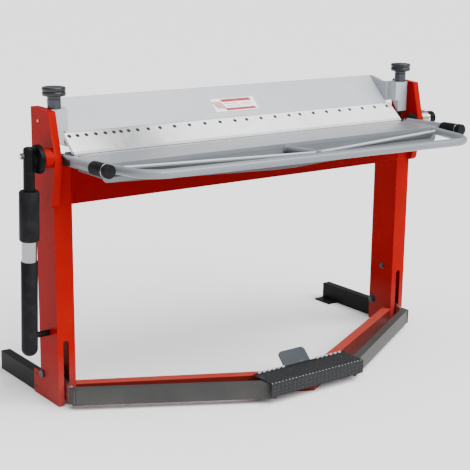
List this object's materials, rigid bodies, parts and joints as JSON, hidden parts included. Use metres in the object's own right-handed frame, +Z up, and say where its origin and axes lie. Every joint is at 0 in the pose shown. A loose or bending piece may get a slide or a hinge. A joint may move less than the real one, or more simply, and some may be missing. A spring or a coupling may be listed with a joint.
{
  "type": "sheet metal brake",
  "caption": "Foot-operated sheet metal brake: welded stand, lifting clamp beam with sloping cover, hinged bending leaf with bow handle and side lever, and a latched pedal.",
  "frame": {"origin": "middle of the bounding box, on the floor", "axes": "+X along the bending line to the operator's right, +Y away from the operator, +Z up"},
  "size_m": [1.5234, 0.734, 0.893],
  "materials": {
    "red_paint": "red powder coat",
    "grey_paint": "light grey powder coat",
    "dark_grey_paint": "dark grey powder coat",
    "black_paint": "black paint",
    "ground_steel": "ground bright steel",
    "machined_steel": "dull machined steel",
    "plating": "plated",
    "knob_plastic": "moulded, satin",
    "grip_rubber": "moulded, matt",
    "bush_bronze": "sintered bronze, dull",
    "label_film": "printed film"
  },
  "bodies": {
    "stand": {"column_left": "red_paint", "column_right": "red_paint", "cheek_left": "red_paint", "cheek_right": "red_paint", "leaf_bush_left": "bush_bronze", "leaf_bush_right": "bush_bronze", "cross_beam": "red_paint", "bed_bar": "machined_steel", "base_frame": "red_paint", "foot_left": "black_paint", "foot_right": "black_paint", "lever_stop": "black_paint", "rod_guide_left": "machined_steel", "rod_guide_right": "machined_steel", "pedal_pivot_left": "machined_steel", "pedal_pivot_right": "machined_steel", "latch_striker": "red_paint"},
    "clamp": {"clamp_blade": "ground_steel", "clamp_cover": "grey_paint", "clamp_beam": "grey_paint", "clamp_bracket_left": "grey_paint", "clamp_bracket_right": "grey_paint", "pull_rod_left": "machined_steel", "pull_rod_right": "machined_steel", "label_plate": "label_film", "lift_spring_left": "machined_steel", "lift_spring_right": "machined_steel"},
    "left_knob": {"knob_left": "knob_plastic", "knob_stem_left": "black_paint"},
    "right_knob": {"knob_right": "knob_plastic", "knob_stem_right": "black_paint"},
    "leaf": {"leaf_edge_bar": "ground_steel", "leaf_plate": "grey_paint", "leaf_skirt": "grey_paint", "leaf_brace": "grey_paint", "leaf_strut": "grey_paint", "bow_handle": "grey_paint", "handle_tube_left": "grey_paint", "handle_tube_right": "grey_paint", "tube_cap_left": "grip_rubber", "tube_cap_right": "grip_rubber", "handle_grip_left": "grip_rubber", "handle_grip_right": "grip_rubber", "pivot_shaft_left": "machined_steel", "pivot_shaft_right": "machined_steel", "hub_disc_left": "black_paint", "hub_disc_right": "black_paint", "lever_arm": "black_paint", "lever_bolt": "machined_steel", "lever_socket": "grip_rubber", "lever_tube": "plating", "lever_grip": "grip_rubber"},
    "pedal": {"pedal_arm_left": "dark_grey_paint", "pedal_arm_right": "dark_grey_paint", "arm_cap_left": "dark_grey_paint", "arm_cap_right": "dark_grey_paint", "pedal_lever_left": "machined_steel", "pedal_lever_right": "machined_steel", "pedal_plate": "black_paint"},
    "latch": {"release_latch": "grey_paint"}
  },
  "joints": [
    {"name": "clamp_lift", "type": "slide", "parent": "stand", "child": "clamp", "axis": [0, 0, 1], "range_m": [0, 0.019], "deforming": ["lift_spring_left", "lift_spring_right"]},
    {"name": "pedal_press", "type": "hinge", "parent": "stand", "child": "pedal", "pos_m": [0.00975, 0.083, 0.072], "axis": [-1, 0, 0], "range_deg": [0, 18]},
    {"name": "leaf_swing", "type": "hinge", "parent": "stand", "child": "leaf", "pos_m": [0.00975, -0.023, 0.712], "axis": [-1, 0, 0], "range_deg": [0, 90]},
    {"name": "knob_left_turn", "type": "hinge", "parent": "clamp", "child": "left_knob", "pos_m": [-0.63225, 0.0237, 0.862], "axis": [0, 0, 1], "continuous": true},
    {"name": "knob_right_turn", "type": "hinge", "parent": "clamp", "child": "right_knob", "pos_m": [0.65175, 0.0237, 0.862], "axis": [0, 0, 1], "continuous": true},
    {"name": "latch_turn", "type": "hinge", "parent": "pedal", "child": "latch", "pos_m": [0.00975, -0.2505, 0.0465], "axis": [1, 0, 0], "range_deg": [0, 12], "stiffness_Nm_per_rad": 0.8, "springref_deg": -17.19}
  ],
  "couplings": [
    {"joint": "clamp_lift", "follows": "pedal_press", "m_per_rad": 0.06}
  ]
}
